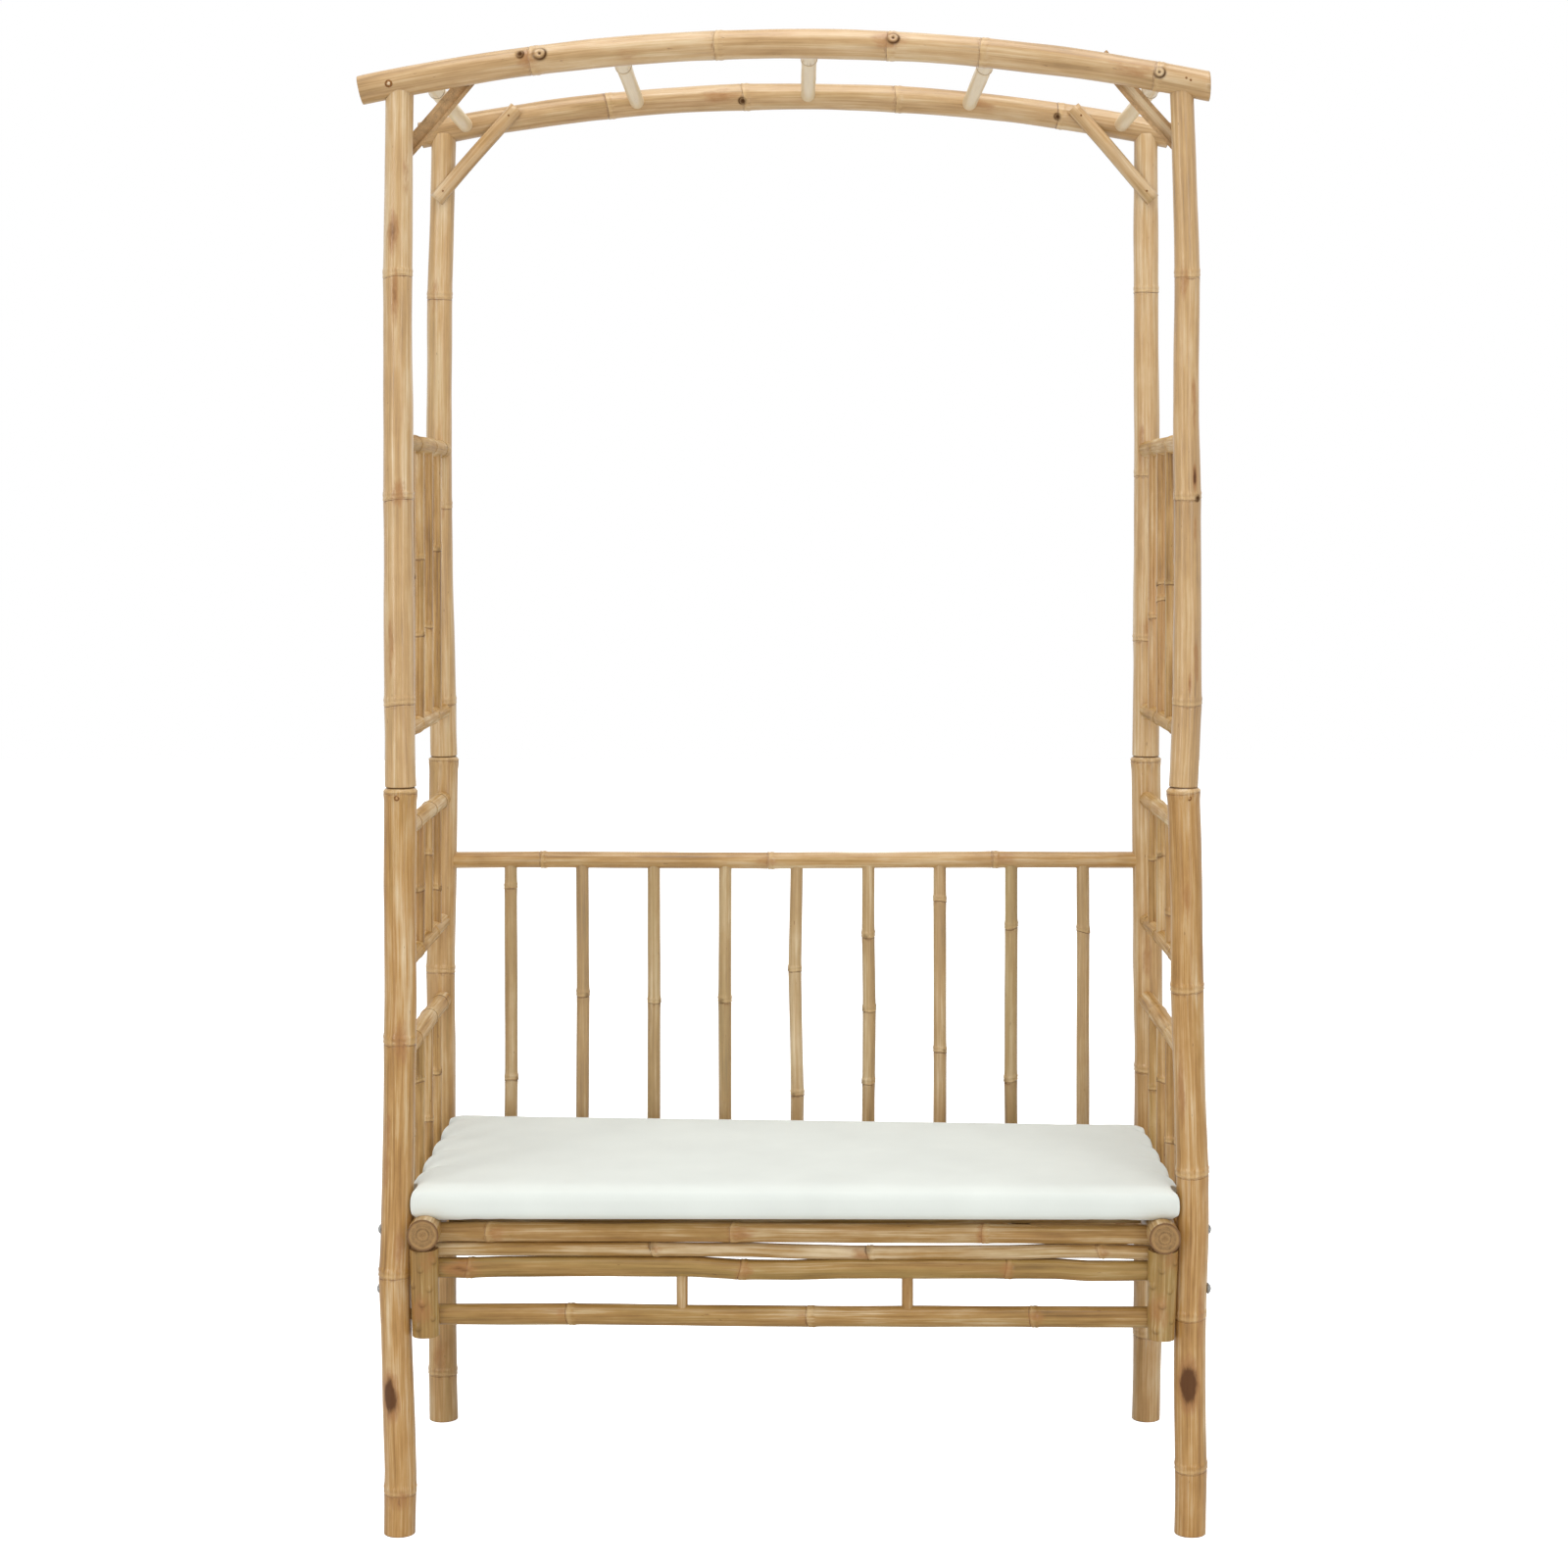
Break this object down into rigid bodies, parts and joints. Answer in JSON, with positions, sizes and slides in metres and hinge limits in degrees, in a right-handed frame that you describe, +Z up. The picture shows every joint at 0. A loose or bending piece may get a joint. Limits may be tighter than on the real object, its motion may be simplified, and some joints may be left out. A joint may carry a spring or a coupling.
{
  "type": "arbour seat",
  "caption": "Garden bench of bamboo poles between two ladder sides, under an arched pergola roof, with a loose seat cushion.",
  "frame": {"origin": "on the ground, under the middle of the seat", "axes": "+X along the bench to a viewer's right, -Y out of the front, +Z up"},
  "size_m": [1.1598, 0.57, 2.0532],
  "materials": {
    "bamboo_post": "lacquered bamboo, warm straw with brown stains",
    "bamboo_roof": "lacquered bamboo, pale straw",
    "bamboo_rung": "lacquered bamboo",
    "bamboo_seat": "lacquered bamboo, darker and browner",
    "cushion_fabric": "plain woven off-white cloth",
    "bolt_steel": "dull zinc-plated steel"
  },
  "bodies": {
    "frame": {"post_lower_front_left": "bamboo_post", "post_upper_front_left": "bamboo_post", "brace_front_left": "bamboo_roof", "seat_leg_front_left": "bamboo_seat", "post_lower_front_right": "bamboo_post", "post_upper_front_right": "bamboo_post", "brace_front_right": "bamboo_roof", "seat_leg_front_right": "bamboo_seat", "post_lower_back_left": "bamboo_post", "post_upper_back_left": "bamboo_post", "brace_back_left": "bamboo_roof", "seat_leg_back_left": "bamboo_seat", "post_lower_back_right": "bamboo_post", "post_upper_back_right": "bamboo_post", "brace_back_right": "bamboo_roof", "seat_leg_back_right": "bamboo_seat", "roof_beam_front": "bamboo_roof", "roof_beam_back": "bamboo_roof", "roof_rung_1": "bamboo_roof", "roof_rung_2": "bamboo_roof", "roof_rung_3": "bamboo_roof", "roof_rung_4": "bamboo_roof", "roof_rung_5": "bamboo_roof", "side_upper_top_rung_left": "bamboo_rung", "side_upper_top_rung_right": "bamboo_rung", "side_upper_comb_left": "bamboo_rung", "side_upper_comb_right": "bamboo_rung", "side_lower_top_rung_left": "bamboo_rung", "side_lower_top_rung_right": "bamboo_rung", "side_middle_comb_left": "bamboo_rung", "side_middle_comb_right": "bamboo_rung", "side_arm_rung_left": "bamboo_rung", "side_arm_rung_right": "bamboo_rung", "side_seat_comb_left": "bamboo_rung", "side_seat_comb_right": "bamboo_rung", "back_spindle_1": "bamboo_seat", "back_spindle_2": "bamboo_seat", "back_spindle_3": "bamboo_seat", "back_spindle_4": "bamboo_seat", "back_spindle_5": "bamboo_seat", "back_spindle_6": "bamboo_seat", "back_spindle_7": "bamboo_seat", "back_spindle_8": "bamboo_seat", "back_spindle_9": "bamboo_seat", "back_top_rail": "bamboo_rung", "back_bottom_rail": "bamboo_seat", "seat_front_top_rail": "bamboo_seat", "seat_front_ledger": "bamboo_seat", "seat_front_middle_rail": "bamboo_seat", "seat_front_bottom_rail": "bamboo_seat", "seat_back_top_rail": "bamboo_seat", "seat_back_bottom_rail": "bamboo_seat", "seat_deck": "bamboo_seat", "seat_side_rail_left": "bamboo_seat", "bolt_upper_left": "bolt_steel", "bolt_lower_left": "bolt_steel", "seat_side_rail_right": "bamboo_seat", "bolt_upper_right": "bolt_steel", "bolt_lower_right": "bolt_steel"},
    "cushion": {"cushion": "cushion_fabric"}
  },
  "joints": [
    {"name": "cushion_lift", "type": "slide", "parent": "frame", "child": "cushion", "axis": [0, 0, 1], "range_m": [0, 0.25]}
  ]
}
